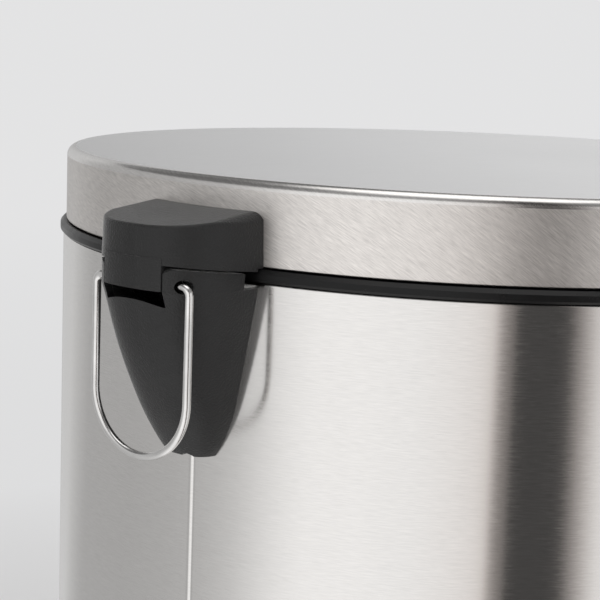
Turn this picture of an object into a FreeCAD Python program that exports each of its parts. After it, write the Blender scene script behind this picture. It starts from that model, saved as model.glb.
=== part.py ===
import FreeCAD, Part
import math
import os

# Step-on waste bin, round, brushed steel with black mouldings.  Millimetres.
# Origin: floor, centre of the base.  +Z up, pedal towards -Y, lid hinge and carry handle towards +Y.

V = FreeCAD.Vector
X, Y, Z = V(1, 0, 0), V(0, 1, 0), V(0, 0, 1)
os.makedirs("parts", exist_ok=True)

# ---------------------------------------------------------------- driving sizes
body_r = 147.5            # outer radius of the steel body
height = 445.0            # floor to the edge of the lid's top face
sheet = 0.7               # body and lid sheet
gap = 0.3                 # seat gap between separate pieces
run = 0.4                 # running gap between moving pieces

lid_inset = 1.0           # lid skirt inside the body's outer radius
lid_skirt = 25.4          # height of the lid skirt
lid_dome = 1.5            # rise of the lid's top at its centre
lid_edge_r = 3.0          # rounding between the top and the skirt
hem_h, hem_t = 6.0, 0.7   # folded hem inside the bottom of the skirt

rim_gap = 4.2             # visible band between the lid skirt and the steel body
rim_bead = 1.1            # how far the band's bead stands proud of the body
rim_wall = 2.0
shell_roll = 2.0          # rolled edge at the top of the body
ledge_drop = 11.0         # bucket ledge below the top of the steel body

foot_h, foot_w, foot_inset = 3.2, 9.0, 4.0
base_floor_z, base_floor_t = 61.5, 2.5
base_wall, base_flange_t, base_lip_h = 2.0, 4.8, 10.0
base_lip = 1.6            # how far the base stands proud of the body
foot_seat = 1.6           # depth of the groove that holds the foot ring
rib_h, rib_t, hub_r = 7.0, 2.4, 60.0     # stiffening under the base's floor

hinge_out = 23.1          # hinge pin axis behind the body's outer face
hinge_drop = 29.3         # hinge pin axis below the lid's edge
lid_open = 72.0           # degrees

cover_half, cover_deep = 23.5, 29.9      # half width and depth of the lid's hinge cover
cover_top, cover_bottom = 9.2, 26.2      # below the lid's edge, at the wall
roof_fall, mouth_rise = 6.1, 6.0         # degrees that its top falls and its mouth rises to the front
cover_wall, cover_round, cover_crest = 1.6, 4.5, 1.0
cover_draft = 0.6                        # narrowing of the cover over its height
ear_gap = 0.75                           # between the cover's mouth and the bracket's ears
tab_half, tab_bottom = 11.2, 30.8        # centre knuckle between the bracket's ears
bracket_top = 31.2                       # shoulder of the body bracket, below the lid's edge
bracket_half, bracket_deep = 22.6, 29.0
slot_bottom = 34.0                       # lower edge of the slot under the knuckle
bracket_tip = 84.0
bracket_wall = 2.2
ear_back, ear_r = 3.8, 5.4               # ears clear the rim by ear_back, rounded about the pin
ear_hole_r = 2.1
knuckle_way = 0.8                        # more than the knuckle's reach, for its turn in the slot
tip_notch_r, tip_notch_x = 2.6, -3.4     # nick in the bracket's tip
d_power = 2.8                            # squareness of the hinge parts' D-shaped plan
seam_w, seam_deep = 0.8, 0.3             # groove of the weld at the back
screw_r = 1.6
plate_t, plate_half, plate_high = 2.5, 15.0, 9.0   # lid arm's plate inside the cover

wire_r = 1.25                            # carry handle wire
handle_half, handle_drop, handle_bend = 18.45, 51.9, 2.6
handle_end = 4.0                         # where the wire's ends stop, from the centre plane

rod_r, rod_x, rod_inside = 1.75, 10.5, 6.0
arm_half, arm_slot_half, arm_edge = 4.0, 3.4, 2.2
barrel_r, barrel_half = 2.6, 8.2
lever_half, lever_h, lever_t = 8.0, 8.4, 1.5
pedal_y, pedal_z = -70.0, 35.0           # pedal pivot
pin_r, lug_t, lug_half, lug_r = 2.5, 4.0, 13.0, 8.0
slot_room = 3.0          # room round the lever in the body and base
slot_share = 0.9635      # part of the arm's full swing that lifts the rod
guide_heights = (150.0, 290.0)
pad_w, pad_d, pad_t, pad_out = 62.0, 40.0, 9.0, 44.0

bucket_gap = 23.5         # from the body's outer face to the bucket's wall at the top
bucket_taper, bucket_wall = 9.0, 1.6
bucket_flange, bucket_flange_t = 5.0, 2.0
bucket_land = 3.0         # width of the flange's rest on the ledge
bail_r, ear_w = 2.0, 5.0


def below(drop):
    """Height of a point given as a drop below the lid's edge."""
    return height - drop


# ---------------------------------------------------------------- derived places
lid_r = body_r - lid_inset
shell_in = body_r - sheet
lid_low = height - lid_skirt
shell_top = lid_low - rim_gap
hinge = V(0, body_r + hinge_out, height - hinge_drop)
flange_top = foot_h + base_flange_t
skirt_face = lid_r                       # plane that carries the hinge cover
rod_y = shell_in - rod_inside + 0.4 * rod_r
arm_reach = hinge.y - rod_y              # pin to rod, level
half_open = math.radians(lid_open / 2)
rod_lift = 2 * arm_reach * slot_share * math.tan(half_open)
lever_arm = rod_y - pedal_y
pedal_half = math.asin(rod_lift / 2 / lever_arm)
lever_rise = math.tan(pedal_half) * (body_r + pedal_y)   # lever's slope at the body's wall
front_len = body_r + pad_out - pad_d / 2 + pedal_y
rod_low = V(rod_x, pedal_y + lever_arm * math.cos(pedal_half), pedal_z - rod_lift / 2)
rod_top_z = hinge.z - rod_lift / 2
arm_way_z = rod_top_z - 12.0             # foot of the slot for the lid's arm
ledge_z = shell_top - ledge_drop
bucket_top_r = body_r - bucket_gap
bucket_top_z = ledge_z + rim_wall + gap + bucket_flange_t
bucket_low = base_floor_z + base_floor_t + gap
bail_z = bucket_top_z + bail_r + run
bail_loop = bucket_top_r - 1.2
liner_r = lid_r - sheet - hem_t - 1.5
liner_top = height - sheet - 0.4
liner_deep = 8.0
bumper_r = liner_r - 2.2
foot_in = body_r - foot_inset - foot_w
ring_skirt = body_r - shell_roll - 3.9   # outer face of the rim ring's inner wall
bracket_back = math.sqrt(body_r ** 2 - (bracket_half + 0.4) ** 2) - 3.0
cover_back = math.sqrt(skirt_face ** 2 - cover_half ** 2) - 3.0
cover_front = below(cover_bottom) + math.tan(math.radians(mouth_rise)) * cover_deep
knuckle_r = math.hypot(body_r + bracket_deep - 0.1 - hinge.y, below(tab_bottom) - hinge.z)
bracket_screws = [(14.0, below(44.0)), (-14.0, below(44.0)), (0.0, below(70.0))]
lid_screws = [(9.0, below(15.5)), (-9.0, below(15.5))]
print("rod lift", round(rod_lift, 3), "pedal degrees", round(math.degrees(2 * pedal_half), 4),
      "ratio", round(math.degrees(2 * pedal_half) / lid_open, 5))
print("hinge", hinge, "rod low", rod_low, "bucket top", bucket_top_z)


# ---------------------------------------------------------------- helpers
def box(x0, x1, y0, y1, z0, z1):
    return Part.makeBox(x1 - x0, y1 - y0, z1 - z0, V(x0, y0, z0))


def rod(r, start, end):
    return Part.makeCylinder(r, (end - start).Length, start, end - start)


def revolve(points, angle=360):
    """Solid of revolution about Z from a closed outline of (radius, z) corners."""
    wire = Part.makePolygon([V(r, 0, z) for r, z in points + points[:1]])
    return Part.Face(wire).revolve(V(0, 0, 0), Z, angle)


def turned(edges):
    """Solid of revolution about Z from edges that close in the XZ plane."""
    return Part.Face(Part.Wire(Part.__sortEdges__(edges))).revolve(V(0, 0, 0), Z, 360)


def line(a, b):
    return Part.LineSegment(V(a[0], 0, a[1]), V(b[0], 0, b[1])).toShape()


def arc(a, m, b):
    return Part.Arc(V(a[0], 0, a[1]), V(m[0], 0, m[1]), V(b[0], 0, b[1])).toShape()


def quarter(cx, cz, r, degrees_mid):
    t = math.radians(degrees_mid)
    return (cx + r * math.cos(t), cz + r * math.sin(t))


def d_wire(half, deep, z, base_y, power=d_power, steps=14):
    """D-shaped outline: straight back at base_y, superellipse front, at height z."""
    points = []
    for i in range(steps + 1):
        t = math.pi * i / steps
        c, s = math.cos(t), math.sin(t)
        x = half * math.copysign(abs(c) ** (2 / power), c)
        points.append(V(x, base_y + deep * abs(s) ** (2 / power), z))
    curve = Part.BSplineCurve()
    curve.interpolate(points)
    back = Part.LineSegment(points[-1], points[0]).toShape()
    return Part.Wire([curve.toShape(), back])


def d_loft(sections, base_y):
    """Solid through D outlines given as (z, half width, depth)."""
    return Part.makeLoft([d_wire(h, d, z, base_y) for z, h, d in sections], True, False)


def bent_wire(points, bends, r):
    """Round wire along straight runs joined by tangent arcs; bends gives one radius per inner point."""
    edges, last = [], points[0]
    for before, at, after, bend in zip(points, points[1:], points[2:], bends):
        u, w = (before - at).normalize(), (after - at).normalize()
        half = u.getAngle(w) / 2
        back = bend / math.tan(half)
        a, b = at + u * back, at + w * back
        centre = at + (u + w).normalize() * (bend / math.sin(half))
        mid = centre + (at - centre).normalize() * bend
        if (a - last).Length > 1e-6:
            edges.append(Part.LineSegment(last, a).toShape())
        edges.append(Part.Arc(a, mid, b).toShape())
        last = b
    if (points[-1] - last).Length > 1e-6:
        edges.append(Part.LineSegment(last, points[-1]).toShape())
    path = Part.Wire(edges)
    section = Part.Wire(Part.makeCircle(r, points[0], points[1] - points[0]))
    return path.makePipeShell([section], True, True)


def fuse(*shapes):
    whole = shapes[0].multiFuse(list(shapes[1:])) if len(shapes) > 1 else shapes[0]
    return whole.removeSplitter()


def fillet(shape, radius, chosen):
    edges = [e for e in shape.Edges if chosen(e)]
    return shape.makeFillet(radius, edges) if edges else shape


def level(edge, z):
    b = edge.BoundBox
    return abs(b.ZMin - z) < 1e-3 and abs(b.ZMax - z) < 1e-3


parts = {}


def save(name, *solids):
    shape = solids[0] if len(solids) == 1 else Part.makeCompound(list(solids))
    parts[name] = shape
    shape.exportStep("parts/" + name + ".step")


def lever_way(y0, y1):
    """Room for the pedal lever through a wall at the front, over its whole swing."""
    w, h = lever_half + slot_room, lever_rise + lever_h / 2 + slot_room
    return box(-w, w, y0, y1, pedal_z - h, pedal_z + h)


# ---------------------------------------------------------------- steel body
def body_shell():
    z0, z1, r, t = flange_top, shell_top, body_r, sheet
    k = shell_roll
    edges = [
        line((r, z0), (r, z1 - k)),
        arc((r, z1 - k), quarter(r - k, z1 - k, k, 45), (r - k, z1)),
        line((r - k, z1), (r - k - 1, z1)),
        line((r - k - 1, z1), (r - k - 1, z1 - t)),
        line((r - k - 1, z1 - t), (r - k, z1 - t)),
        arc((r - k, z1 - t), quarter(r - k, z1 - k, k - t, 45), (r - t, z1 - k)),
        line((r - t, z1 - k), (r - t, z0)),
        line((r - t, z0), (r, z0)),
    ]
    shell = turned(edges)
    arm_slot = box(-arm_half - 1.5, arm_half + 1.5, 0, r + 1, arm_way_z, z1 + 1)
    screw_holes = [rod(screw_r + 0.15, V(x, r - 5, z), V(x, r + 5, z)) for x, z in bracket_screws]
    seam = box(-seam_w / 2, seam_w / 2, r - seam_deep, r + 1, z0 - 1, z1 - k - 1)
    return shell.cut([arm_slot, lever_way(-r - 1, -r / 2), seam] + screw_holes)


save("body_shell", body_shell())


# ---------------------------------------------------------------- black rim band on the body
def rim_ring():
    z = shell_top + 0.1
    top = lid_low - gap
    out, skirt_r = body_r + rim_bead, ring_skirt
    ledge_r = bucket_top_r + bucket_flange - bucket_land
    edges_pts = [
        (skirt_r, z), (out - 0.8, z), (out, z + 0.8), (out, top - 1.2), (out - 1.2, top),
        (lid_r - 3.2, top), (lid_r - 3.2, z + rim_wall), (skirt_r - rim_wall, z + rim_wall),
        (skirt_r - rim_wall, ledge_z + rim_wall), (ledge_r, ledge_z + rim_wall), (ledge_r, ledge_z),
        (skirt_r, ledge_z),
    ]
    ring = revolve(edges_pts)
    inner_notch = box(-rod_x - 3.5, rod_x + 3.5, 0, body_r - 2.3, ledge_z - 1, top + 1)
    arm_notch = box(-arm_half - 1.5, arm_half + 1.5, 0, out + 1, ledge_z - 1, top + 1)
    return ring.cut([inner_notch, arm_notch])


save("rim_ring", rim_ring())


# ---------------------------------------------------------------- base
def base_moulding():
    z0, z1 = foot_h, base_floor_z + base_floor_t
    out, wall_out = body_r + base_lip, shell_in - gap
    wall_in = wall_out - base_wall
    ring = revolve([
        (wall_in - 14, z0), (out - 1.5, z0), (out, z0 + 1.5), (out, flange_top + base_lip_h - 0.8),
        (out - 0.8, flange_top + base_lip_h), (body_r + gap, flange_top + base_lip_h),
        (body_r + gap, flange_top), (wall_out, flange_top), (wall_out, z1), (0, z1),
        (0, base_floor_z), (wall_in, base_floor_z), (wall_in, flange_top), (wall_in - 14, flange_top),
    ])
    rear_slot = box(-rod_x - 3.5, rod_x + 3.5, wall_in - 8, wall_out + 0.01, flange_top, z1 + 1)
    groove = revolve([(foot_in, z0 - 1), (foot_in + foot_w, z0 - 1),
                      (foot_in + foot_w, z0 + foot_seat), (foot_in, z0 + foot_seat)])
    lugs = []
    for side in (-1, 1):
        x = side * (lug_half - lug_t / 2)
        lug = fuse(
            box(x - lug_t / 2, x + lug_t / 2, pedal_y - lug_r, pedal_y + lug_r, pedal_z, base_floor_z + 0.5),
            rod(lug_r, V(x - lug_t / 2, pedal_y, pedal_z), V(x + lug_t / 2, pedal_y, pedal_z)),
        )
        lugs.append(lug)
    rib_low, rib_top = base_floor_z - rib_h, base_floor_z + 0.5
    lever_run = box(-lever_half - slot_room, lever_half + slot_room, -wall_in - 1, wall_in + 1,
                    rib_low - 1, base_floor_z - 0.01)
    ribs = []
    for i in range(8):
        rib = box(hub_r, wall_in + 0.5, -rib_t / 2, rib_t / 2, rib_low, rib_top)
        rib.rotate(V(0, 0, 0), Z, 22.5 + 45 * i)
        ribs.append(rib.cut(lever_run))
    hub = revolve([(hub_r - rib_t, rib_low), (hub_r + 0.5, rib_low), (hub_r + 0.5, rib_top),
                   (hub_r - rib_t, rib_top)])
    whole = fuse(ring, hub.cut(lever_run), *lugs, *ribs)
    bore = rod(pin_r + 0.1, V(-lug_half - 1, pedal_y, pedal_z), V(lug_half + 1, pedal_y, pedal_z))
    return whole.cut([lever_way(-body_r - 3, -wall_in + 6), rear_slot, groove, bore])


save("base_moulding", base_moulding())
save("foot_ring", revolve([
    (foot_in + 0.6, 0), (foot_in + foot_w - 0.6, 0), (foot_in + foot_w - gap / 2, 0.6),
    (foot_in + foot_w - gap / 2, foot_h + foot_seat), (foot_in + gap / 2, foot_h + foot_seat),
    (foot_in + gap / 2, 0.6)]))


# ---------------------------------------------------------------- hinge bracket on the body
def bracket_sections(inset=0.0):
    """D outlines from the shoulder down to the tip: the boss is a half cone that narrows downwards."""
    rows = [(bracket_top, bracket_half, bracket_deep), (42.2, 20.8, 25.7), (49.5, 19.5, 23.4), (56.8, 18.2, 20.5),
            (64.2, 16.8, 17.1), (71.8, 15.1, 13.2), (76.0, 13.6, 10.9), (80.0, 11.8, 8.6), (bracket_tip, 9.4, 6.0)]
    lift = body_r - bracket_back
    return [(below(d), half - inset, deep - inset + lift) for d, half, deep in rows]


def tilted(shape, y, z, degrees):
    """Turns a shape about the level line along X through (y, z); a positive angle lifts the front."""
    shape.rotate(V(0, y, z), X, degrees)
    return shape


def ears(inset=0.0):
    """The boss carried on above its shoulder: clear of the rim, level with the cover, round about the pin."""
    half, deep = bracket_half - inset, bracket_deep - inset + body_r - bracket_back
    top = below(cover_bottom - cover_deep / 2)
    block = d_loft([(below(bracket_top), half, deep), (top, half, deep)], bracket_back)
    front = body_r + ear_back + inset
    under = tilted(box(-60, 60, front, body_r + 60, below(bracket_tip), below(cover_bottom + ear_gap) - inset),
                   body_r, below(cover_bottom), mouth_rise)
    nose = fuse(box(-60, 60, front, hinge.y, below(bracket_tip), below(0)),
                box(-60, 60, front, body_r + 60, below(bracket_tip), hinge.z),
                rod(ear_r - inset, V(-60, hinge.y, hinge.z), V(60, hinge.y, hinge.z)))
    return block.common(under).common(nose)


def hinge_bracket():
    outer = d_loft(bracket_sections(), bracket_back)
    solid = fuse(outer, ears())
    inner = d_loft(bracket_sections(bracket_wall)[:-1], bracket_back)
    inner_low = inner.common(box(-60, 60, bracket_back - 20, body_r + 60, below(76.0), below(bracket_top)))
    pocket = box(-tab_half - run, tab_half + run, bracket_back - 1, body_r + 60, below(slot_bottom), below(0))
    turn_way = rod(knuckle_r + knuckle_way, V(-tab_half - run, hinge.y, hinge.z),
                   V(tab_half + run, hinge.y, hinge.z))
    shell = solid.cut([inner_low, ears(bracket_wall), pocket, turn_way])
    posts = [rod(3.6, V(x, body_r - 12, z), V(x, body_r + 26, z)).common(outer) for x, z in bracket_screws]
    shell = fuse(shell, *posts)
    bores = [rod(screw_r - 0.3, V(x, body_r - 12, z), V(x, body_r + 7, z)) for x, z in bracket_screws]
    pin_hole = rod(ear_hole_r, V(-40, hinge.y, hinge.z), V(40, hinge.y, hinge.z))
    body = rod(body_r + 0.02, V(0, 0, below(120)), V(0, 0, below(0)))
    band = rod(body_r + rim_bead + 0.1, V(0, 0, shell_top), V(0, 0, lid_low))
    tip_notch = rod(tip_notch_r, V(tip_notch_x, body_r - 20, below(bracket_tip + 1.6)),
                    V(tip_notch_x, body_r + 20, below(bracket_tip + 1.6)))
    return shell.cut([body, band, pin_hole, tip_notch] + bores)


save("hinge_bracket", hinge_bracket())


def screw(x, z, head_y, tip_y, head_r=3.0, head_t=1.4):
    """Pan-head screw along +Y, head at head_y, with a cross recess left to the finish."""
    head = rod(head_r, V(x, head_y - head_t, z), V(x, head_y, z))
    return fuse(head, rod(screw_r - 0.35, V(x, head_y - 0.1, z), V(x, tip_y, z)))


def bracket_screw_set():
    solids = []
    for x, z in bracket_screws:
        seat = math.sqrt(shell_in ** 2 - (abs(x) + 3.0) ** 2) - 0.05
        solids.append(screw(x, z, seat, body_r + 6))
    return solids


save("bracket_screws", *bracket_screw_set())


# ---------------------------------------------------------------- lid
def lid_shell():
    r, t, e, z0, z1 = lid_r, sheet, lid_edge_r, lid_low, height
    top_r = (r - e)
    bow = (top_r ** 2 + lid_dome ** 2) / (2 * lid_dome)

    def dome(rad, offset):
        return z1 + lid_dome - offset - (bow - math.sqrt(bow ** 2 - rad ** 2))

    edges = [
        arc((0, dome(0, 0)), (top_r / 2, dome(top_r / 2, 0)), (top_r, z1)),
        arc((top_r, z1), quarter(top_r, z1 - e, e, 45), (r, z1 - e)),
        line((r, z1 - e), (r, z0)),
        line((r, z0), (r - t - hem_t, z0)),
        line((r - t - hem_t, z0), (r - t - hem_t, z0 + hem_h)),
        line((r - t - hem_t, z0 + hem_h), (r - t, z0 + hem_h)),
        line((r - t, z0 + hem_h), (r - t, z1 - e)),
        arc((r - t, z1 - e), quarter(top_r, z1 - e, e - t, 45), (top_r, z1 - t)),
        arc((top_r, z1 - t), (top_r / 2, dome(top_r / 2, t)), (0, dome(0, t))),
        line((0, dome(0, t)), (0, dome(0, 0))),
    ]
    shell = turned(edges)
    holes = [rod(screw_r + 0.1, V(x, r - 6, z), V(x, r + 3, z)) for x, z in lid_screws]
    return shell.cut(holes)


save("lid_shell", lid_shell())


def lid_liner():
    """Inner cap of the lid: a shallow dish with a rolled rim and stiffening rings."""
    top = height - sheet - 0.4
    r = liner_r
    dish = revolve([(0, top - 1.6), (r - 8, top - 1.6), (r - 3, top - 8.0), (r, top - 8.0),
                    (r, top - 6.4), (r - 2.4, top - 6.4), (r - 7.2, top), (0, top)])
    rings = [revolve([(a, top - 3.6), (a + 1.6, top - 3.6), (a + 1.6, top - 1.5), (a, top - 1.5)])
             for a in (35, 70, 105)]
    way = box(-plate_half - 4, plate_half + 4, r - 10, r + 5, top - 10, top + 1)
    return fuse(dish, *rings).cut(way)


save("lid_liner", lid_liner())


def cover_block(inset=0.0):
    """D prism with a rounded roof that falls to the front; its mouth is open below where inset is given."""
    lift = skirt_face - cover_back - inset
    low, top = below(cover_bottom + 1.0 + inset), below(cover_top - 1.0)
    half = cover_half - inset
    block = d_loft([(low, half, cover_deep + lift), (top, half - cover_draft, cover_deep - cover_draft + lift)],
                   cover_back)
    roof_z = below(cover_top) - inset
    roof = box(-half, half, cover_back - 5, body_r + 60, roof_z - 40, roof_z)
    roof = fillet(roof, cover_round, lambda e: level(e, roof_z) and e.BoundBox.YLength > 5)
    return block.common(tilted(roof, skirt_face, roof_z, -roof_fall))


def hinge_cover():
    """Black cap on the lid skirt, hollow below, whose centre knuckle hangs between the ears."""
    mouth = tilted(box(-60, 60, cover_back - 5, body_r + 60, below(cover_bottom), below(0) + 20),
                   body_r, below(cover_bottom), mouth_rise)
    outer = cover_block().common(mouth)
    outer = fillet(outer, cover_crest, on_crest)
    shell = outer.cut(cover_block(cover_wall))
    tab_top = cover_front + cover_wall
    flush = bracket_deep + body_r - bracket_back - 0.1
    tab = d_loft([(below(tab_bottom), cover_half, flush), (tab_top, cover_half, flush)], bracket_back)
    tab = tab.common(box(-tab_half, tab_half, hinge.y - 3.2, hinge.y + 20, below(tab_bottom), tab_top))
    barrel_way = rod(barrel_r + 0.25, V(-barrel_half - run, hinge.y, hinge.z),
                     V(barrel_half + run, hinge.y, hinge.z))
    barrel_drop = box(-barrel_half - run, barrel_half + run, hinge.y - 9, hinge.y + barrel_r - 0.4,
                      below(tab_bottom) - 1, tab_top + 1)
    pin_way = rod(wire_r + 0.3, V(-20, hinge.y, hinge.z), V(20, hinge.y, hinge.z))
    whole = fuse(shell, tab.cut([barrel_way, barrel_drop, pin_way]))
    lid_wall = rod(skirt_face + 0.02, V(0, 0, below(60)), V(0, 0, height + 5))
    band = rod(body_r + rim_bead + gap, V(0, 0, below(60)), V(0, 0, lid_low))
    return whole.cut([lid_wall, band])


def on_crest(edge):
    """The roof's front edge, above the cover's side and clear of the wall."""
    b = edge.BoundBox
    return b.YMax > skirt_face + cover_deep / 2 and b.ZMin > below(cover_top + cover_round + 6.0)


save("hinge_cover", hinge_cover())


def lid_arm():
    """Hinge casting: plate on the skirt, web down to the pin barrel, arm through the body to the rod."""
    rest = -half_open
    plate = box(-plate_half, plate_half, skirt_face - 4, skirt_face + 4,
                lid_screws[0][1] - plate_high / 2, lid_screws[0][1] + plate_high / 2 - 1.0)
    plate = plate.cut(rod(skirt_face + 0.02, V(0, 0, 0), V(0, 0, height)))
    plate = plate.common(rod(skirt_face + plate_t, V(0, 0, 0), V(0, 0, height)))
    barrel = rod(barrel_r, V(-barrel_half, hinge.y, hinge.z), V(barrel_half, hinge.y, hinge.z))
    y0, zc = skirt_face + 1, lid_screws[0][1]
    web_outline = Part.makePolygon([
        V(0, y0, zc + plate_high / 2 - 1.2), V(0, y0 + 8, zc + 2), V(0, hinge.y + 1.4, hinge.z + 2.0),
        V(0, hinge.y - 2.6, hinge.z - 2.6), V(0, hinge.y - 5, hinge.z + 3.6), V(0, y0, zc - plate_high / 2 + 0.5),
        V(0, y0, zc + plate_high / 2 - 1.2)])
    web = Part.Face(web_outline).extrude(V(2 * arm_half, 0, 0))
    web.translate(V(-arm_half, 0, 0))
    web = web.cut(rod(skirt_face + 0.5, V(0, 0, 0), V(0, 0, height)))
    far = arm_reach / math.cos(half_open) + rod_r + 0.7
    near = arm_reach - rod_r - 0.4
    half_h = arm_slot_half + arm_edge
    head = box(-arm_half, arm_half, -far - arm_edge, -near + arm_edge, -half_h, half_h)
    head = fillet(head, 2.0, lambda e: e.BoundBox.XLength > 2 * arm_half - 1)
    reach = fuse(head, box(-arm_half, arm_half, -near, 0, -barrel_r, barrel_r))
    slot = box(-arm_half - 1, arm_half + 1, -far, -near, -arm_slot_half, arm_slot_half)
    slot = fillet(slot, 1.0, lambda e: e.BoundBox.XLength > 2 * arm_half)
    reach = reach.cut(slot)
    reach.rotate(V(0, 0, 0), X, -math.degrees(rest))
    reach.translate(hinge)
    whole = fuse(plate, web, barrel, reach)
    bores = [rod(wire_r + 0.06, V(s * (handle_end - 0.6), hinge.y, hinge.z), V(s * 20, hinge.y, hinge.z))
             for s in (-1, 1)]
    taps = [rod(screw_r - 0.3, V(x, skirt_face - 1, z), V(x, skirt_face + 3, z)) for x, z in lid_screws]
    return whole.cut(bores + taps)


save("lid_arm", lid_arm())
save("lid_screws", *[screw(x, z, math.sqrt((lid_r - sheet) ** 2 - (abs(x) + 3.0) ** 2) - 0.15,
                           skirt_face + 2.0) for x, z in lid_screws])


def lid_bumpers():
    """Three soft studs under the liner's rim that meet the rim band when the lid shuts."""
    top = height - sheet - 0.4 - 8.0
    solids = []
    for a in (-90, 20, 160):
        x, y = bumper_r * math.cos(math.radians(a)), bumper_r * math.sin(math.radians(a))
        stud = fuse(rod(1.6, V(x, y, shell_top + 0.1 + rim_wall + 0.3), V(x, y, top - 1.0)),
                    rod(1.2, V(x, y, top - 1.1), V(x, y, top)))
        solids.append(stud)
    return solids


save("lid_bumpers", *lid_bumpers())


# ---------------------------------------------------------------- carry handle
def carry_handle():
    """Wire bail: its turned-in ends run through the ears and form the lid's hinge pins."""
    y, z, w = hinge.y, hinge.z, handle_half
    low = z - handle_drop
    solids = []
    path = [V(-handle_end, y, z), V(-w, y, z), V(-w, y, low), V(w, y, low), V(w, y, z), V(handle_end, y, z)]
    solids.append(bent_wire(path, [handle_bend, w - 0.001, w - 0.001, handle_bend], wire_r))
    return solids[0]


save("carry_handle", carry_handle())


# ---------------------------------------------------------------- pedal and push rod
def along_lever(shape):
    """Turns a lever drawn level, pivot at the origin, to its rest position."""
    shape.rotate(V(0, 0, 0), X, -math.degrees(pedal_half))
    shape.translate(V(0, pedal_y, pedal_z))
    return shape


front_len = body_r + pad_out - pad_d / 2 + pedal_y


def pedal_lever():
    y0, y1 = -front_len, lever_arm + 3.6
    w, t, h = lever_half, lever_t, lever_h / 2
    channel = box(-w, w, y0, y1, -h, h).cut(box(-w + t, w - t, y0 - 1, y1 + 1, -h - 1, h - t))
    round_end = fuse(box(-w - 1, w + 1, y0 - 1, lever_arm, -h - 1, h + 1),
                     rod(h, V(-w - 1, lever_arm, 0), V(w + 1, lever_arm, 0)))
    channel = channel.common(round_end)
    tongue = box(-w, w, y0 - pad_d * 0.55, y0 + 0.5, h - t, h)
    bore = rod(pin_r + 0.1, V(-w - 1, 0, 0), V(w + 1, 0, 0))
    eye = rod(rod_r + 0.12, V(-w - 1, lever_arm, 0), V(w + 1, lever_arm, 0))
    relief = box(-w + t, w + 1, lever_arm - 6, y1 + 1, h - t - 1, h + 1).common(
        box(-w + t, w - t, -999, 999, -99, 99))
    rivets = [rod(2.05, V(x, y0 - pad_d * 0.35, h - t - 1), V(x, y0 - pad_d * 0.35, h + 1))
              for x in (-4.5, 4.5)]
    return along_lever(fuse(channel, tongue).cut([bore, eye, relief] + rivets))


def pedal_pad():
    """Moulded tread: rounded plan, hollow below, with grip ribs across the top."""
    h = lever_h / 2
    y1 = -front_len + 4
    y0 = y1 - pad_d
    body = box(-pad_w / 2, pad_w / 2, y0, y1, h + 0.05, h + pad_t)
    body = fillet(body, 13, lambda e: e.BoundBox.ZLength > 5 and e.BoundBox.YMax < y0 + 1)
    body = fillet(body, 5, lambda e: e.BoundBox.ZLength > 5 and e.BoundBox.YMin > y1 - 1)
    body = fillet(body, 2.5, lambda e: level(e, h + pad_t))
    hollow = box(-pad_w / 2 + 2, pad_w / 2 - 2, y0 + 2, y1 - 2, h - 1, h + pad_t - 4.2)
    hollow = fillet(hollow, 11, lambda e: e.BoundBox.ZLength > 3 and e.BoundBox.YMax < y0 + 3)
    bosses = [rod(4.2, V(x, -front_len - pad_d * 0.35, h + 0.05), V(x, -front_len - pad_d * 0.35, h + 7))
              for x in (-4.5, 4.5)]
    grooves = [box(-pad_w / 2 + 10, pad_w / 2 - 10, y, y + 1.6, h + pad_t - 1.0, h + pad_t + 1)
               for y in (y0 + 8 + 4.5 * i for i in range(6))]
    seat = box(-lever_half - 1, lever_half + 1, y1 - 3, y1 + 1, h - 1, h + 2)
    bores = [rod(1.95, V(x, -front_len - pad_d * 0.35, h - 1), V(x, -front_len - pad_d * 0.35, h + 5))
             for x in (-4.5, 4.5)]
    return along_lever(fuse(body.cut(hollow), *bosses).cut(grooves + [seat] + bores))


def pedal_rivets():
    h = lever_h / 2
    solids = []
    for x in (-4.5, 4.5):
        y = -front_len - pad_d * 0.35
        solids.append(along_lever(fuse(rod(1.9, V(x, y, h - lever_t - 0.1), V(x, y, h + 4.6)),
                                       rod(3.2, V(x, y, h - lever_t - 1.3), V(x, y, h - lever_t - 0.02)))))
    return solids


save("pedal_lever", pedal_lever())
save("pedal_pad", pedal_pad())
save("pedal_rivets", *pedal_rivets())
pin_head = rod(4.4, V(-lug_half - 1.8, pedal_y, pedal_z), V(-lug_half - 0.1, pedal_y, pedal_z))
save("pedal_pin", fuse(pin_head, rod(pin_r, V(-lug_half - 0.2, pedal_y, pedal_z),
                                     V(lug_half + 3.0, pedal_y, pedal_z))))
clip = rod(4.4, V(lug_half + 0.4, pedal_y, pedal_z), V(lug_half + 1.6, pedal_y, pedal_z))
save("pin_clip", clip.cut(rod(pin_r + 0.05, V(0, pedal_y, pedal_z), V(40, pedal_y, pedal_z)))
     .cut(box(0, 40, pedal_y - 1.6, pedal_y + 1.6, pedal_z - 9, pedal_z)))


def push_rod():
    y, z0, z1 = rod_low.y, rod_low.z, rod_top_z
    bend = 2.6
    path = [V(-lever_half - 2.5, y, z0), V(rod_x, y, z0), V(rod_x, y, z1), V(-arm_half - 3.0, y, z1)]
    return bent_wire(path, [bend, bend], rod_r)


save("push_rod", push_rod())


def rod_guides():
    """Two clips riveted inside the body that keep the push rod upright."""
    solids, studs = [], []
    for z in guide_heights:
        block = box(rod_x - 7, rod_x + 7, rod_y - 6.5, shell_in, z - 5, z + 5)
        block = block.common(rod(shell_in - 0.05, V(0, 0, z - 6), V(0, 0, z + 6)))
        block = fillet(block, 2.0, lambda e: e.BoundBox.ZLength > 8 and e.BoundBox.YMax < rod_y)
        bore = box(rod_x - rod_r - 1, rod_x + rod_r + 1, rod_low.y - rod_r - 0.8, rod_y + rod_r + 0.6, z - 6, z + 6)
        solids.append(block.cut(bore))
    return solids


guide_heights = (150.0, 290.0)
save("rod_guides", *rod_guides())


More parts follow.
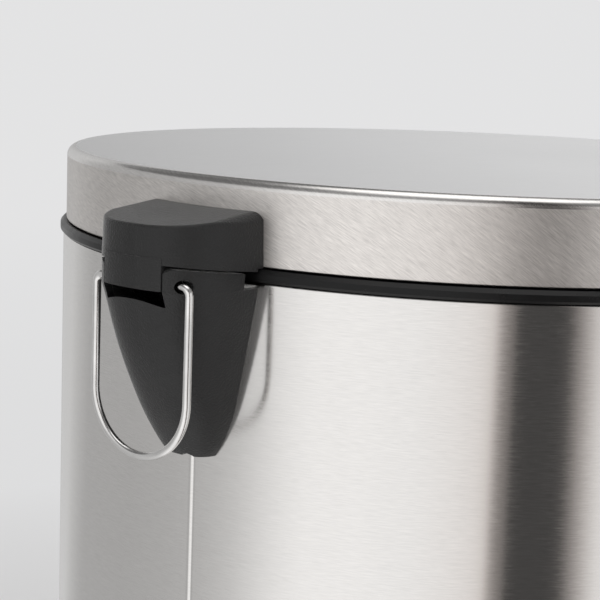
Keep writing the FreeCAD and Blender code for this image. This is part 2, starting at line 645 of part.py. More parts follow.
# ---------------------------------------------------------------- inner bucket
def bucket():
    r1, t, z0, z1 = bucket_top_r, bucket_wall, bucket_low, bucket_top_z
    r0 = r1 - bucket_taper
    ft, fl = bucket_flange_t, bucket_flange
    pts = [
        (0, z0 + 4), (r0 - 14, z0 + 4), (r0 - 11, z0), (r0 - 3, z0), (r0, z0 + 3), (r1, z1 - ft), (r1 + fl, z1 - ft),
        (r1 + fl, z1), (r1 - t, z1), (r0 - t, z0 + 4), (r0 - 4, z0 + t), (r0 - 10.4, z0 + t),
        (r0 - 13.4, z0 + 4 + t), (0, z0 + 4 + t),
    ]
    shape = revolve(pts)
    ears = []
    for s in (-1, 1):
        near, far = r1 + 2.2, r1 + 4.8
        x0, x1 = min(s * near, s * far), max(s * near, s * far)
        ear = fuse(box(x0, x1, -ear_w, ear_w, z1 - 0.1, bail_z), rod(ear_w, V(x0, 0, bail_z), V(x1, 0, bail_z)))
        ears.append(ear.common(box(x0, x1, -ear_w, ear_w, z1 - 0.1, bail_z + ear_w)))
    holes = [rod(bail_r + 0.1, V(s * (r1 + 1), 0, bail_z), V(s * (r1 + 8), 0, bail_z)) for s in (-1, 1)]
    notch = box(-arm_half - 3, arm_half + 3, r1 + 0.4, r1 + 20, z1 - 20, z1 + 20)
    return fuse(shape, *ears).cut(holes + [notch])


bail_z = bucket_top_z + bail_r + 0.4
bail_loop = bucket_top_r - 1.2
ear_w = 5.0
save("bucket", bucket())


def bucket_bail():
    """Half hoop that lies on the bucket's rim; its ends turn out through the ears."""
    r, z = bail_loop, bail_z
    hoop = Part.Arc(V(r, -8, z), V(0, -r, z), V(-r, -8, z))
    left, right = V(-r, -8, z), V(r, -8, z)
    edges = [Part.LineSegment(V(r + 7.4, 0, z), V(r + 2, 0, z)).toShape()]
    edges.append(Part.Arc(V(r + 2, 0, z), V(r + 0.59, -0.59, z), V(r, -2, z)).toShape())
    edges.append(Part.LineSegment(V(r, -2, z), right).toShape())
    edges.append(hoop.toShape())
    edges.append(Part.LineSegment(left, V(-r, -2, z)).toShape())
    edges.append(Part.Arc(V(-r, -2, z), V(-r - 0.59, -0.59, z), V(-r - 2, 0, z)).toShape())
    edges.append(Part.LineSegment(V(-r - 2, 0, z), V(-r - 7.4, 0, z)).toShape())
    section = Part.Wire(Part.makeCircle(bail_r, V(r + 7.4, 0, z), X))
    return Part.Wire(edges).makePipeShell([section], True, True)


save("bucket_bail", bucket_bail())

for name, shape in parts.items():
    print(name, len(shape.Solids), shape.isValid(), round(shape.Volume), "mm3")
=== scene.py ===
# %% [markdown]
# # A step-on waste bin in brushed steel
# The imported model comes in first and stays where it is. It holds every part at its real size, so
# each piece made below takes its place from the box of a part that is already there. Lengths are
# in metres, Z is up, the pedal points to -Y, and the lid hinge with its wire handle to +Y.

# %% Load the frame
import math

import bmesh
import bpy
import numpy as np
from mathutils import Matrix, Vector


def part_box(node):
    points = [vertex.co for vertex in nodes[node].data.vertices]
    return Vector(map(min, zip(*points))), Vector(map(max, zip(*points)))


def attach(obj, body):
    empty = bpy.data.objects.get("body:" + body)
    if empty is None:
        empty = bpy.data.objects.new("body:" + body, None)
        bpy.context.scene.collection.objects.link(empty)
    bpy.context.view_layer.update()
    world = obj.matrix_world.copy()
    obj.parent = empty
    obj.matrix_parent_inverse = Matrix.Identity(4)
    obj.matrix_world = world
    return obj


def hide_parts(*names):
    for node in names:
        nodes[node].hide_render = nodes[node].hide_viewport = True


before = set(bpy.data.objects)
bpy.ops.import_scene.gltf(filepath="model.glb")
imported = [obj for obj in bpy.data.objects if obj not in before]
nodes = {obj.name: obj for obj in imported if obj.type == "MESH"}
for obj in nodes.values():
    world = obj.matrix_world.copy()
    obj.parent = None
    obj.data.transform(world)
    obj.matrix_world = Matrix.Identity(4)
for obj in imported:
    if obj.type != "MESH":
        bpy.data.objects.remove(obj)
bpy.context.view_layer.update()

# %% [markdown]
# ## Sizes read from the parts
# The steel tube and the lid are turned about the same upright axis. Their radii and heights come
# from their boxes. The thickness of the sheet and the rise of the lid's dome are the model's own.

# %% Sizes
mm = 0.001
tube_low, tube_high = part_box("body_shell")
lid_low, lid_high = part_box("lid_shell")
tube_r = tube_high.x
lid_r = lid_high.x
sheet = 0.7 * mm
dome = 1.5 * mm
lid_edge = lid_high.z - dome
print("tube radius", round(tube_r, 4), "lid radius", round(lid_r, 4), "lid edge", round(lid_edge, 4))

# %% [markdown]
# ## Grids and turned sheets
# Every new piece is a grid of points worked out in one go. `grid_mesh` joins neighbours of the grid
# into four-sided faces, and either direction can close on itself. A UV map called brush tells the
# finish which way its metal was brushed. Straight runs and arcs make one chain of points, the
# profile, which is then carried round the bin's upright axis.

# %% Grid helpers
def pair(along, up):
    """Two values for each point of a grid, from two arrays that only have to spread over it."""
    return np.stack(np.broadcast_arrays(along, up), axis=-1)


def grid_mesh(name, points, close_u=False, close_v=False, keep=None, brush=None):
    """Faces over a grid: corner (i, j) joins (i+1, j), (i+1, j+1) and (i, j+1), wrapping where closed.
    keep says which cells get a face. brush gives each point its place (along, across) in the brushing,
    and one more row, a step past the last, stops the last cell of a turn from running back."""
    rows, cols = points.shape[:2]
    i, j = np.meshgrid(np.arange(rows - (not close_u)), np.arange(cols - (not close_v)), indexing="ij")
    i2, j2 = i + 1, j + 1
    corners = np.stack([pair(a, b) for a, b in ((i, j), (i2, j), (i2, j2), (i, j2))], axis=2)
    if keep is not None:
        corners = corners[keep]
    corners = corners.reshape(-1, 4, 2)
    quads = (corners[..., 0] % rows) * cols + corners[..., 1] % cols
    mesh = bpy.data.meshes.new(name)
    mesh.from_pydata(points.reshape(-1, 3).tolist(), [], quads.tolist())
    if brush is not None:
        carried_on = np.concatenate([brush, brush[-1:] + (brush[1:2] - brush[:1])])
        places = carried_on[corners[..., 0], corners[..., 1] % cols]
        mesh.uv_layers.new(name="brush").data.foreach_set("uv", places.reshape(-1).astype(np.float32))
    mesh.polygons.foreach_set("use_smooth", np.ones(len(mesh.polygons), bool))
    mesh.update()
    piece = bpy.data.objects.new(name, mesh)
    bpy.context.scene.collection.objects.link(piece)
    return piece


def weld(piece, distance=1e-6):
    """Joins points that lie together, which closes the poles of a turned piece."""
    work = bmesh.new()
    work.from_mesh(piece.data)
    bmesh.ops.remove_doubles(work, verts=work.verts, dist=distance)
    work.to_mesh(piece.data)
    work.free()
    return piece


# %% Profile helpers
def run(a, b, count=2):
    """Points evenly spaced on the straight line from a to b."""
    return np.linspace(a, b, count)


def bow(centre, radius, start, end, count=9):
    """Points on the arc about centre, from angle start to angle end in degrees."""
    t = np.radians(np.linspace(start, end, count))
    return np.stack([centre[0] + radius * np.cos(t), centre[1] + radius * np.sin(t)], axis=-1)


def chain(*stretches):
    """One profile from several stretches, without doubled points where they meet."""
    points = np.concatenate(stretches)
    step = np.linalg.norm(np.diff(points, axis=0), axis=1)
    return points[np.concatenate([[True], step > 1e-7])]


def turn(profile, angles):
    """Each (radius, height) of the profile at each angle: x = r cos a, y = r sin a, z = height."""
    r, z = profile[:, 0], profile[:, 1]
    x, y = np.cos(angles)[:, None] * r, np.sin(angles)[:, None] * r
    return np.stack([x, y, np.broadcast_to(z, x.shape)], axis=-1)


steps_round = 480
around = np.linspace(0, 2 * math.pi, steps_round, endpoint=False)
print("steps round the bin:", steps_round)

# %% [markdown]
# ## The steel tube
# The body is one sheet rolled into a tube and welded at the back, with its top edge rolled in. The
# weld stands proud by a hair with a fine groove beside it, so the radius is a function of the angle
# there. Two slots let moving parts through: one at the back for the lid's arm, behind the hinge
# block, and one at the front for the pedal lever. They could be cut with a Boolean, but the grid
# has lines on their edges, so leaving cells out gives clean corners. Solidify adds the thickness.

# %% The weld
weld_ridge = {"height": 0.16 * mm, "middle": 0, "width": 0.5 * mm}
weld_groove = {"height": -0.14 * mm, "middle": 1.15 * mm, "width": 0.4 * mm}


def seam_offset(across):
    """Height of the sheet's face by distance from the weld: a narrow round ridge with a shallower
    groove beside it, where each is height * exp(-((distance - middle) / width) squared)."""
    return sum(line["height"] * np.exp(-((across - line["middle"]) / line["width"]) ** 2)
               for line in (weld_ridge, weld_groove))


back, front = math.pi / 2, 3 * math.pi / 2
seam_at = back - 0.35 * mm / tube_r
seam_steps = seam_at + np.linspace(-3, 3, 41) * mm / tube_r
print("weld at", round(math.degrees(seam_at), 2), "degrees")

# %% Slots and grid lines
roll_r, rolled_in = 0.9 * mm, 1 * mm
arm_slot = {"middle": back, "half": 5.5 * mm / tube_r, "low": 383.3 * mm, "high": math.inf}
lever_slot = {"middle": front, "half": 11 * mm / tube_r, "low": 20.3 * mm, "high": 49.7 * mm}
slots = (arm_slot, lever_slot)
slot_sides = [slot["middle"] + side * slot["half"] for slot in slots for side in (-1, 1)]
slot_ends = [arm_slot["low"], lever_slot["low"], lever_slot["high"]]
tube_a = np.unique(np.concatenate([around, seam_steps, slot_sides]))
wall_z = np.unique(np.concatenate([np.linspace(tube_low.z, tube_high.z - roll_r, 48), slot_ends]))
print("grid lines:", len(tube_a), "round the tube,", len(wall_z), "up its wall")

# %% Steel tube
tube_profile = chain(
    pair(tube_r, wall_z),
    bow((tube_r - roll_r, tube_high.z - roll_r), roll_r, 0, 90),
    run((tube_r - roll_r, tube_high.z), (tube_r - roll_r - rolled_in, tube_high.z)))
tube_points = turn(tube_profile, tube_a)
tube_points[:, :, :2] *= 1 + seam_offset((tube_a - seam_at) * tube_r)[:, None, None] / tube_r
cell_a = (tube_a + np.append(tube_a[1:], 2 * math.pi)) / 2
cell_z = (tube_profile[1:, 1] + tube_profile[:-1, 1]) / 2
solid = np.ones((len(cell_a), len(cell_z)), bool)
for slot in slots:
    inside_a = np.abs(cell_a - slot["middle"]) < slot["half"]
    inside_z = (cell_z > slot["low"]) & (cell_z < slot["high"])
    solid &= ~(inside_a[:, None] & inside_z[None, :])
tube_brush = pair(tube_a[:, None] * tube_r, tube_profile[None, :, 1])
tube = grid_mesh("steel_tube", tube_points, close_u=True, keep=solid, brush=tube_brush)
skin = tube.modifiers.new("sheet", "SOLIDIFY")
skin.thickness, skin.offset = sheet, -1
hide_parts("body_shell")
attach(tube, "root")
print("steel tube:", len(tube.data.polygons), "faces,", int((~solid).sum()), "cells left out for the slots")

# %% [markdown]
# ## The lid
# The lid is pressed from one disc: a very slightly domed top, a small round edge, a straight skirt,
# and a hem folded inside at the bottom. A disc with a bevel would do for a sharp lid, but the hem
# and the sheet's own thickness show when it stands open, so the whole section is one closed chain
# of points, turned all the way round.

# %% Lid section
def dome_line(outer, rise, level, count):
    """A shallow dome as a parabola: height is level + rise * (1 - (radius / outer) squared)."""
    r = np.linspace(0, outer, count)
    return np.stack([r, level + rise * (1 - (r / outer) ** 2)], axis=-1)


edge_r = 3.0 * mm
hem, hem_round, hem_low, hem_high = 0.7 * mm, 0.7 * mm, 0.3 * mm, 6.0 * mm
flat_r = lid_r - edge_r
inner_r = lid_r - sheet
lid_profile = chain(
    run((inner_r - hem, lid_low.z + hem_high), (inner_r - hem, lid_low.z + hem_low)),
    bow((lid_r - hem_round, lid_low.z + hem_round), hem_round, 180, 360),
    run((lid_r, lid_low.z + hem_round), (lid_r, lid_edge - edge_r), 10),
    bow((flat_r, lid_edge - edge_r), edge_r, 0, 90, 13),
    dome_line(flat_r, dome, lid_edge, 40)[::-1],
    dome_line(flat_r, dome, lid_edge - sheet, 24),
    bow((flat_r, lid_edge - edge_r), edge_r - sheet, 90, 0, 7),
    run((inner_r, lid_edge - edge_r), (inner_r, lid_low.z + hem_high)))
lid_points = turn(lid_profile, around)
print("lid section:", len(lid_profile), "points")

# %% [markdown]
# ## The lid's brushing
# Top and skirt were brushed in different directions, so each gets its own finish and its own lie of
# the lines. Their colours also differ as painted light: the top is painted much lighter than the
# steel, and the skirt a little darker and warmer, as painted shade. On the top the lines run one way
# across the disc. On the skirt they fall by a slope that changes round the lid, and drift is the sum
# of those falls. The round edge has its own finish too.

# %% Lid
def lay_brush(along, up, slope):
    """Turns a flat place (along, up) by the brushing's slope, so that the first value runs with the
    lines: along * cos + up * sin, and up * cos - along * sin."""
    c, s = math.cos(slope), math.sin(slope)
    return np.stack([along * c + up * s, up * c - along * s], axis=-1)


top_slope = math.radians(62)
skirt_fall, fall_swing, swing_from = 25, 13, math.radians(100)
slope = np.radians(-skirt_fall - fall_swing * np.sin(2 * (around - swing_from)))
drift = -np.cumsum(np.tan(slope)) * lid_r * (around[1] - around[0])
skirt_brush = pair(around[:, None] * lid_r, lid_profile[None, :, 1] + drift[:, None])
lid = grid_mesh("lid_sheet", lid_points, close_u=True, close_v=True, brush=skirt_brush)
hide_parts("lid_shell")
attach(lid, "lid")
print("lid:", len(lid.data.polygons), "faces")

# %% Three finishes on the lid
def read(items, key, width, kind):
    """One property of all of a mesh's faces, corners or UV points, as rows of the given width."""
    values = np.zeros(len(items) * width, kind)
    items.foreach_get(key, values)
    return values.reshape(-1, width)


skirt_index, top_index, edge_index = 0, 1, 2
top_from = lid_edge - 0.25 * mm
centres = read(lid.data.polygons, "center", 3, float)
centre_r = np.hypot(centres[:, 0], centres[:, 1])
top_faces = (centres[:, 2] > top_from) & (centre_r < flat_r)
edge_faces = (centres[:, 2] > lid_edge - edge_r) & (centre_r > flat_r)
index = np.where(top_faces, top_index, np.where(edge_faces, edge_index, skirt_index))
lid.data.polygons.foreach_set("material_index", index.astype(np.int32))
corner = lid_points.reshape(-1, 3)[read(lid.data.loops, "vertex_index", 1, np.int32)[:, 0]]
brush_places = lid.data.uv_layers["brush"].data
places = read(brush_places, "uv", 2, np.float32)
on_top = np.repeat(top_faces, 4)
places[on_top] = lay_brush(corner[on_top, 0], corner[on_top, 1], top_slope)
brush_places.foreach_set("uv", places.reshape(-1))
weld(lid)
print("top faces:", int(top_faces.sum()), "edge faces:", int(edge_faces.sum()))

# %% [markdown]
# ## Finishes
# A finish is a small graph of nodes, so a few short functions add the nodes that every one of them
# needs. Noise keeps mostly between 0.3 and 0.7, and spread stretches that span onto what it drives.

# %% Material helpers
noise_span = (0.3, 0.7)


def new_material(name, color, metallic, roughness):
    """A Principled material with plain values set on the shader's own sockets."""
    material = bpy.data.materials.new(name)
    material.use_nodes = True
    shader = material.node_tree.nodes["Principled BSDF"]
    shader.inputs["Base Color"].default_value = (*color, 1)
    shader.inputs["Metallic"].default_value = metallic
    shader.inputs["Roughness"].default_value = roughness
    return material, material.node_tree, shader


def add(tree, kind, **values):
    """Adds a node. Names of its own settings are set as such, and names of its inputs as values."""
    node = tree.nodes.new(kind)
    for key, value in values.items():
        if hasattr(node, key):
            setattr(node, key, value)
        else:
            node.inputs[key.replace("_", " ")].default_value = value
    return node


def reckon(tree, operation, *terms, kind="ShaderNodeMath"):
    """Arithmetic on sockets and plain numbers, in the order in which the operation takes them."""
    node = add(tree, kind, operation=operation)
    for socket, term in zip(node.inputs, terms):
        if isinstance(term, bpy.types.NodeSocket):
            tree.links.new(term, socket)
        else:
            socket.default_value = term
    return node


# %% Noise and colour helpers
def stretched_noise(tree, source, scale, detail, rough):
    """Noise whose place is multiplied by scale along each axis, so a large number makes it fine."""
    mapping = add(tree, "ShaderNodeMapping", Scale=scale)
    noise = add(tree, "ShaderNodeTexNoise", Scale=1.0, Detail=detail, Roughness=rough)
    tree.links.new(source, mapping.inputs["Vector"])
    tree.links.new(mapping.outputs["Vector"], noise.inputs["Vector"])
    return noise.outputs["Fac"]


def spread(tree, source, start, end, low=0.0, high=1.0):
    """Maps the range start..end of a value onto low..high."""
    node = add(tree, "ShaderNodeMapRange", From_Min=start, From_Max=end, To_Min=low, To_Max=high)
    tree.links.new(source, node.inputs["Value"])
    return node.outputs["Result"]


def ramp(tree, source, stops):
    """Colour by a value from 0 to 1, changing evenly between stops, each a (value, colour)."""
    node = add(tree, "ShaderNodeValToRGB")
    elements = node.color_ramp.elements
    while len(elements) < len(stops):
        elements.new(0.5)
    for element, (position, color) in zip(elements, stops):
        element.position, element.color = position, (*color, 1)
    tree.links.new(source, node.inputs["Fac"])
    return node.outputs["Color"]


def shades(tree, source, shader, color, darker, lighter):
    """Colours the surface between two shades of one colour by a value from 0 to 1."""
    ends = [tuple(min(1.0, c * factor) for c in color) for factor in (darker, lighter)]
    tree.links.new(ramp(tree, source, [(0, ends[0]), (1, ends[1])]), shader.inputs["Base Color"])


def drifting_gloss(tree, source, shader, roughness, glossier, duller):
    """Roughness that a noise moves between two ends on either side of its middle value."""
    tree.links.new(spread(tree, source, *noise_span, roughness - glossier, roughness + duller),
                   shader.inputs["Roughness"])


def bump(tree, source, shader, strength, distance):
    """Tilts the surface's normal by the slope of a value."""
    node = add(tree, "ShaderNodeBump", Strength=strength, Distance=distance)
    tree.links.new(source, node.inputs["Height"])
    tree.links.new(node.outputs["Normal"], shader.inputs["Normal"])


# %% [markdown]
# ## Brushed steel
# Brushed steel is a mirror that has been scratched in one direction. Light spreads across the
# scratches far more than along them, which is what an anisotropic metal does once its tangent runs
# with the brushing. A painted picture of scratches would smear when the camera comes close, so a
# stretched noise adds the single hairlines, a broader one their bands, and an even one the clouds.

# %% Brushed steel
def brushed_steel(name, color, roughness, lines_per_m, line_length, aniso, relief, contrast,
                  gloss_range=0.04):
    """Hairlines run along the first brushing value and are packed across the second. Bands are seven
    times as broad and three times as long, and add a little to the hairlines' tone and relief."""
    band_share, tone_span, scratch_depth = 0.15, (0.33, 0.82), 0.02 * mm
    clouds_per_m, cloud_range, quarter_turn = 9, 0.015, 0.25
    material, tree, shader = new_material(name, color, 1.0, roughness)
    place = add(tree, "ShaderNodeUVMap", uv_map="brush").outputs["UV"]
    hair_scale, band_scale = (1 / line_length, lines_per_m, 1), (0.35 / line_length, lines_per_m / 7, 1)
    hair = stretched_noise(tree, place, hair_scale, detail=4.0, rough=0.7)
    band = stretched_noise(tree, place, band_scale, detail=2.0, rough=0.5)
    body_place = add(tree, "ShaderNodeTexCoord").outputs["Object"]
    cloud = stretched_noise(tree, body_place, (clouds_per_m,) * 3, detail=3.0, rough=0.5)
    lines = reckon(tree, "MULTIPLY_ADD", band, band_share, hair).outputs["Value"]
    shades(tree, spread(tree, lines, *tone_span), shader, color, 1 - contrast, 1 + contrast)
    gloss = spread(tree, hair, *noise_span, -gloss_range, gloss_range)
    clouds = spread(tree, cloud, *noise_span, roughness - cloud_range, roughness + cloud_range)
    tree.links.new(reckon(tree, "ADD", gloss, clouds).outputs["Value"], shader.inputs["Roughness"])
    bump(tree, lines, shader, relief, scratch_depth)
    shader.inputs["Anisotropic"].default_value = aniso
    shader.inputs["Anisotropic Rotation"].default_value = quarter_turn
    tangent = add(tree, "ShaderNodeTangent", direction_type="UV_MAP", uv_map="brush")
    tree.links.new(tangent.outputs["Tangent"], shader.inputs["Tangent"])
    return material


# %% Steel on tube and lid
# The lid's top colour is painted lighter than the steel, as painted light from above, and the skirt's a
# little darker and warmer, as painted shade.
steel, skirt_painted_shade_tone, top_painted_light_tone = (0.70, 0.685, 0.67), (0.69, 0.66, 0.635), (0.88, 0.88, 0.885)
tube_steel = brushed_steel("tube_steel", steel, roughness=0.165, lines_per_m=2800, line_length=5 * mm,
                           aniso=0.92, relief=0.12, contrast=0.08, gloss_range=0.06)
skirt_steel_painted_shade = brushed_steel("skirt_steel_painted_shade", skirt_painted_shade_tone, roughness=0.36, lines_per_m=3000,
                            line_length=4 * mm, aniso=0.25, relief=0.5, contrast=0.30)
top_steel_painted_light = brushed_steel("top_steel_painted_light", top_painted_light_tone, roughness=0.36, lines_per_m=2400,
                          line_length=10 * mm, aniso=0.5, relief=0.15, contrast=0.05)
edge_steel = brushed_steel("edge_steel", steel, roughness=0.20, lines_per_m=2600,
                           line_length=4 * mm, aniso=0.4, relief=0.3, contrast=0.12)
tube.data.materials.append(tube_steel)
for finish in (skirt_steel_painted_shade, top_steel_painted_light, edge_steel):
    lid.data.materials.append(finish)
print("brushed steel on tube, skirt, top and edge")

# %% [markdown]
# ## Black plastic, wire, plated steel and rubber
# The mouldings are polypropylene with a fine spark-eroded grain, which makes their gloss soft. The
# handle is drawn wire, so its marks run along it. The pedal works are zinc plated. The shapes of
# these parts are the model's own, so only a finish is put on them. A noise in the normal is enough
# for the grain, because real relief this fine would need millions of faces.

# %% Other finishes
def grained_plastic(name, color, roughness, grain, relief):
    """Matt plastic: a fine grain in the normal, and a broad cloud in the gloss and a little in the
    colour. grain is how many bumps go to a metre."""
    material, tree, shader = new_material(name, color, 0.0, roughness)
    place = add(tree, "ShaderNodeTexCoord").outputs["Object"]
    clouds_per_m, grain_depth = 60, 0.3 * mm
    fine = stretched_noise(tree, place, (grain,) * 3, detail=2.0, rough=0.5)
    cloud = stretched_noise(tree, place, (clouds_per_m,) * 3, detail=4.0, rough=0.6)
    shades(tree, spread(tree, cloud, *noise_span), shader, color, darker=0.8, lighter=1.25)
    drifting_gloss(tree, cloud, shader, roughness, glossier=0.05, duller=0.07)
    bump(tree, fine, shader, relief, grain_depth)
    return material


def plated_steel(name, color, roughness, scale=(400, 400, 400)):
    """Plated or drawn metal: faint streaks in the gloss, stretched the way the part was drawn."""
    material, tree, shader = new_material(name, color, 1.0, roughness)
    place = add(tree, "ShaderNodeTexCoord").outputs["Object"]
    clouds_per_m, streak_relief, streak_depth = 70, 0.12, 0.03 * mm
    streak = stretched_noise(tree, place, scale, detail=3.0, rough=0.6)
    cloud = stretched_noise(tree, place, (clouds_per_m,) * 3, detail=3.0, rough=0.6)
    shades(tree, spread(tree, cloud, *noise_span), shader, color, darker=0.82, lighter=1.08)
    drifting_gloss(tree, streak, shader, roughness, glossier=0.06, duller=0.10)
    bump(tree, streak, shader, streak_relief, streak_depth)
    return material


black = grained_plastic("black_plastic", (0.008, 0.008, 0.0083), 0.52, grain=1700, relief=0.7)
sheen = black.node_tree.nodes["Principled BSDF"].inputs
sheen["Sheen Weight"].default_value, sheen["Sheen Roughness"].default_value = 0.48, 0.35
smooth_black = grained_plastic("rim_plastic", (0.006, 0.006, 0.0063), 0.30, grain=1200, relief=0.1)
smooth_black.node_tree.nodes["Principled BSDF"].inputs["Specular IOR Level"].default_value = 0.22
bucket_black = grained_plastic("bucket_plastic", (0.035, 0.035, 0.037), 0.38, grain=1400, relief=0.2)
rubber = grained_plastic("black_rubber", (0.022, 0.022, 0.022), 0.7, grain=1800, relief=0.4)
zinc = plated_steel("zinc_plate", (0.62, 0.63, 0.65), 0.30)
bright = plated_steel("drawn_wire", (0.74, 0.73, 0.72), 0.16, scale=(2500, 2500, 300))
print("other finishes:", [m.name for m in (black, smooth_black, bucket_black, rubber, zinc, bright)])

# %% Which part wears which finish
finish_of = {
    smooth_black: ("rim_ring",),
    black: ("hinge_bracket", "hinge_cover", "base_moulding", "rod_guides", "pedal_pad", "lid_liner"),
    bucket_black: ("bucket",),
    rubber: ("foot_ring", "lid_bumpers"),
    zinc: ("lid_arm", "lid_screws", "bracket_screws", "pedal_lever", "pedal_rivets", "pedal_pin",
           "pin_clip", "push_rod", "bucket_bail"),
    bright: ("carry_handle",),
}
for material, names in finish_of.items():
    for name in names:
        nodes[name].data.materials.clear()
        nodes[name].data.materials.append(material)
print("finishes:", {m.name: len(n) for m, n in finish_of.items()})

# %% [markdown]
# ## The studio's screens
# Polished metal only looks like metal when it has something to reflect. Real screens could stand
# round the bin, but they would show in the picture and throw light, so the surroundings only seem
# to hold them: broad pale ones with a few darker gaps between, given as brightness and warmth
# against compass direction.

# %% Screens
screens = [  # compass direction in degrees, brightness, warmth
    (-180, 0.80, 0), (-62, 0.92, 0), (-56, 0.84, 0), (-50, 0.70, 0), (-40, 0.52, 0), (-30, 0.62, 0),
    (-14, 0.70, 0), (-5, 0.60, 0), (3, 0.51, 0), (28, 0.52, 0), (45, 0.56, 0), (58, 0.64, 0),
    (66, 0.76, 0), (73, 0.93, 0), (79, 1.08, 0), (86, 1.19, 0), (99, 1.20, 0), (112, 1.15, 0),
    (122, 1.08, 0.2), (128.5, 1.00, 0.4), (131.3, 0.90, 0.8), (132.5, 0.33, 1), (135.2, 0.26, 1),
    (136.3, 0.075, 0.3), (147.6, 0.075, 0.3), (149.4, 0.10, 0.6), (151, 0.24, 0.9), (153.6, 0.50, 0.8),
    (156, 0.76, 0.5), (159, 1.02, 0.2), (168, 1.10, 0), (180, 0.85, 0),
]
warm_tint, brightest = (0.0, 0.08, 0.12), 1.2


def axes(tree, place):
    """The X, Y and Z of a place or direction, each on a socket of its own."""
    node = add(tree, "ShaderNodeSeparateXYZ")
    tree.links.new(place, node.inputs["Vector"])
    return node.outputs


def screen_light(tree, place):
    """Share of the brightest screen by compass direction: the angle of (x, y) looks up the list."""
    x, y, _ = axes(tree, place)
    angle = reckon(tree, "ARCTAN2", y, x).outputs["Value"]
    stops = [((degrees + 180) / 360, [level / brightest * (1 - warmth * t) for t in warm_tint])
             for degrees, level, warmth in screens]
    return ramp(tree, spread(tree, angle, -math.pi, math.pi), stops)


def blend(tree, factor, first, second):
    """Mix of two shaders by a factor socket."""
    node = add(tree, "ShaderNodeMixShader")
    for socket, source in zip(node.inputs, (factor, first, second)):
        tree.links.new(source, socket)
    return node.outputs["Shader"]


print("screens:", len(screens), "from", min(s[1] for s in screens), "to", brightest)

# %% [markdown]
# ## The world
# Above the floor's wall the world takes over. It goes by rise, the height of a direction on a ball
# of radius one. The screens fade as they rise, and straight overhead they give way to a bright
# ceiling. The camera never sees any of this, because its own rays get an even pale grey.

# %% World
fade = [(0, 0), (0.10, 1.0), (0.24, 0.40), (0.80, 0.32), (1, 1)]
ceiling_span, ceiling_level = (0.88, 0.95), 1.7
world = bpy.data.worlds.new("studio")
bpy.context.scene.world = world
world.use_nodes = True
tree = world.node_tree
tree.nodes.clear()
ray = add(tree, "ShaderNodeLightPath")
direction = add(tree, "ShaderNodeTexCoord").outputs["Generated"]
rise = axes(tree, direction)["Z"]
side = add(tree, "ShaderNodeBackground")
ceiling = add(tree, "ShaderNodeBackground", Color=(1, 0.99, 0.98, 1), Strength=ceiling_level)
pale = add(tree, "ShaderNodeBackground", Color=(0.76, 0.76, 0.765, 1), Strength=1.0)
tree.links.new(screen_light(tree, direction), side.inputs["Color"])
faded = ramp(tree, rise, [(at, (level, level, level)) for at, level in fade])
tree.links.new(reckon(tree, "MULTIPLY", faded, brightest).outputs["Value"], side.inputs["Strength"])
lit = blend(tree, spread(tree, rise, *ceiling_span), side.outputs[0], ceiling.outputs[0])
out = add(tree, "ShaderNodeOutputWorld")
tree.links.new(blend(tree, ray.outputs["Is Camera Ray"], lit, pale.outputs[0]), out.inputs["Surface"])
print("world nodes:", len(tree.nodes))

# %% [markdown]
# ## The floor
# The floor is a round sheet that sweeps up into a wall on every side, one profile turned about the
# upright axis, so no corner shows behind the bin. Near the bin it is a plain matt surface and takes
# its shadow. Farther out it glows evenly, as a lit backdrop does. Polished steel sees the screens
# on it, again by compass direction.

# %% Floor
floor_r, sweep_r, wall_high = 3.2, 1.6, 3.0
floor_line = chain(run((0, 0), (floor_r, 0), 24), bow((floor_r, sweep_r), sweep_r, 270, 360, 16),
                   run((floor_r + sweep_r, sweep_r), (floor_r + sweep_r, wall_high), 4))
floor = weld(grid_mesh("studio_floor", turn(floor_line, around[::4]), close_u=True))
floor.data.flip_normals()
print("floor:", len(floor.data.polygons), "faces")

# %% Floor finish
backdrop_span, grey_span = (0.45, 1.1), (0.6, 3.4)
near_grey, far_grey = (0.715, 0.715, 0.72), (0.77, 0.77, 0.775)
material, tree, shader = new_material("studio_floor", (0.74, 0.74, 0.745), 0.0, 0.9)
ray = add(tree, "ShaderNodeLightPath")
place = add(tree, "ShaderNodeTexCoord").outputs["Object"]
screen_side = add(tree, "ShaderNodeEmission", Strength=brightest)
tree.links.new(screen_light(tree, place), screen_side.inputs["Color"])
level_place = reckon(tree, "MULTIPLY", place, (1, 1, 0), kind="ShaderNodeVectorMath").outputs["Vector"]
away = reckon(tree, "LENGTH", level_place, kind="ShaderNodeVectorMath").outputs["Value"]
backdrop = add(tree, "ShaderNodeEmission")
tree.links.new(ramp(tree, spread(tree, away, *grey_span), [(0, near_grey), (1, far_grey)]),
               backdrop.inputs["Color"])
seen = blend(tree, spread(tree, away, *backdrop_span), shader.outputs[0], backdrop.outputs[0])
matt = blend(tree, ray.outputs["Is Camera Ray"], shader.outputs[0], seen)
surface = blend(tree, ray.outputs["Is Glossy Ray"], matt, screen_side.outputs[0])
tree.links.new(surface, tree.nodes["Material Output"].inputs["Surface"])
floor.data.materials.append(material)

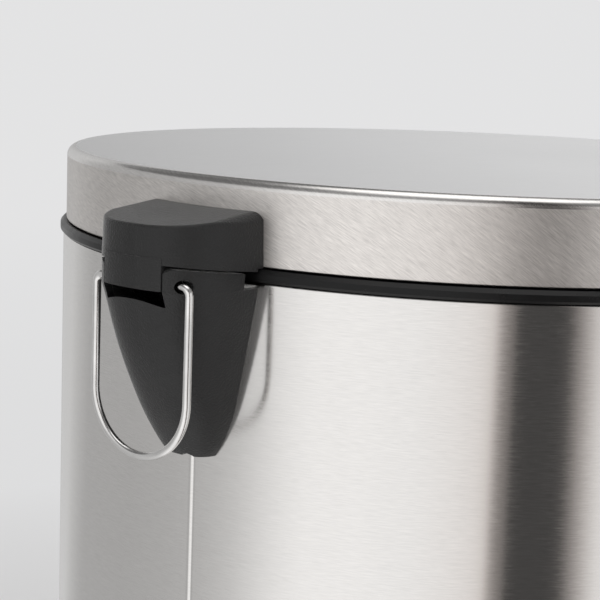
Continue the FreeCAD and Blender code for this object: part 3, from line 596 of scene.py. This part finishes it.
# %% [markdown]
# ## Lamps and camera
# One wide soft lamp hangs over the bin and a weaker one fills from the camera's side. The camera
# stands behind the bin, a little above the lid, and looks down at the hinge. A long lens from four
# tube radii away keeps the upright edges nearly parallel.

# %% Lamps
def soft_lamp(name, place, aim, size, power):
    """A square soft lamp that faces a point. It lights surfaces but isn't seen in the steel."""
    lamp = bpy.data.lights.new(name, "AREA")
    lamp.size, lamp.energy, lamp.color = size, power, (1, 0.985, 0.965)
    holder = bpy.data.objects.new(name, lamp)
    bpy.context.scene.collection.objects.link(holder)
    holder.location = place
    holder.rotation_euler = (Vector(aim) - Vector(place)).to_track_quat("-Z", "Y").to_euler()
    holder.visible_glossy = False
    print(name, "at", place, "with", power, "watts")


soft_lamp("top_lamp", (-0.5, 0.6, 2.2), (0, 0, 0.3), size=1.6, power=18)
soft_lamp("side_lamp", (-1.9, 0.5, 1.2), (0, 0, 0.35), size=1.2, power=8)

# %% Camera
def look(distance, bearing, above, turned, tilt, lean, focal):
    """A camera at a distance from the bin's axis. bearing is its compass angle from +X, above its height
    over the lid, turned and tilt its aim, and lean its roll, in degrees or metres. focal is the lens's
    length in millimetres."""
    camera = bpy.data.cameras.new("camera")
    camera.sensor_width, camera.lens = film_width, focal
    holder = bpy.data.objects.new("camera", camera)
    bpy.context.scene.collection.objects.link(holder)
    b, t, e, r = (math.radians(v) for v in (bearing, turned, tilt, lean))
    eye = Vector((distance * math.cos(b), distance * math.sin(b), lid_edge + above))
    aim = Vector((math.cos(t) * math.cos(e), math.sin(t) * math.cos(e), math.sin(e)))
    right = aim.cross(Vector((0, 0, 1))).normalized()
    up = right.cross(aim)
    right, up = right * math.cos(r) + up * math.sin(r), up * math.cos(r) - right * math.sin(r)
    holder.matrix_world = Matrix.Translation(eye) @ Matrix((right, up, -aim)).transposed().to_4x4()
    bpy.context.scene.camera = holder
    print("camera at", [round(v, 3) for v in eye])


film_width = 36
look(distance=4.0 * tube_r, bearing=122.600, above=0.2962 * tube_r, turned=-51.490, tilt=-9.641,
     lean=2.149, focal=95.88)
view = bpy.context.scene.view_settings
view.view_transform = "Standard"
